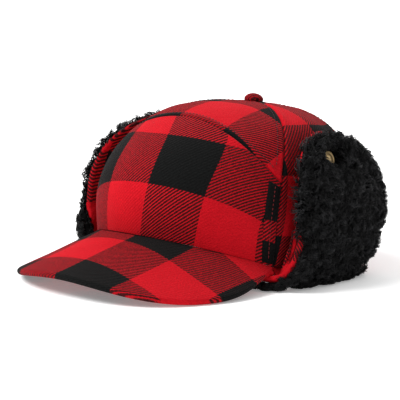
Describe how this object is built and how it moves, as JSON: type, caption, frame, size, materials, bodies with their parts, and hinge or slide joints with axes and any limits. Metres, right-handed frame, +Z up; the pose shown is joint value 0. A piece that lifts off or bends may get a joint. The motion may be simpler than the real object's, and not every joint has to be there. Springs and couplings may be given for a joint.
{
  "type": "trapper hat",
  "caption": "Trapper hat in checked wool with a curved visor, and fleece-lined ear flaps that fold up and snap to the crown.",
  "frame": {"origin": "on the surface that the hat stands on, under the centre of its box, with the ear flaps folded up", "axes": "+Z up, the visor points towards -Y, and the wearer's left is +X"},
  "size_m": [0.208, 0.2932, 0.1279],
  "materials": {
    "wool_plaid": "brushed twill wool in a red and black buffalo check",
    "fleece": "deep curly pile",
    "lining": "smooth quiltless satin lining",
    "sweatband": "plain woven band",
    "buckram": "stiffened open weave",
    "visor_board": "matte sheet",
    "brass": "satin brass",
    "steel": "bright zinc"
  },
  "bodies": {
    "crown": {"front_panel": "wool_plaid", "top_panel": "wool_plaid", "front_buckram": "buckram", "crown_lining": "lining", "sweatband": "sweatband", "rear_rim_binding": "wool_plaid", "visor_board": "visor_board", "visor_top_cover": "wool_plaid", "visor_under_cover": "wool_plaid", "top_button_cap": "wool_plaid", "top_button_back": "steel", "left_side_panel": "wool_plaid", "left_back_panel": "wool_plaid", "left_flap_root": "wool_plaid", "left_snap_stud": "brass", "left_snap_rivet": "brass", "right_side_panel": "wool_plaid", "right_back_panel": "wool_plaid", "right_flap_root": "wool_plaid", "right_snap_stud": "brass", "right_snap_rivet": "brass"},
    "left_flap": {"left_flap_shell": "wool_plaid", "left_flap_fleece": "fleece", "left_snap_cap": "brass", "left_snap_socket": "brass"},
    "right_flap": {"right_flap_shell": "wool_plaid", "right_flap_fleece": "fleece", "right_snap_cap": "brass", "right_snap_socket": "brass"}
  },
  "joints": [
    {"name": "left_flap_fold", "type": "hinge", "parent": "crown", "child": "left_flap", "pos_m": [0.092, 0.03272, 0.00169], "axis": [0, 0.9961, -0.088], "range_deg": [0, 170]},
    {"name": "right_flap_fold", "type": "hinge", "parent": "crown", "child": "right_flap", "pos_m": [-0.092, 0.03272, 0.00169], "axis": [0, -0.9961, 0.088], "range_deg": [0, 170]}
  ]
}
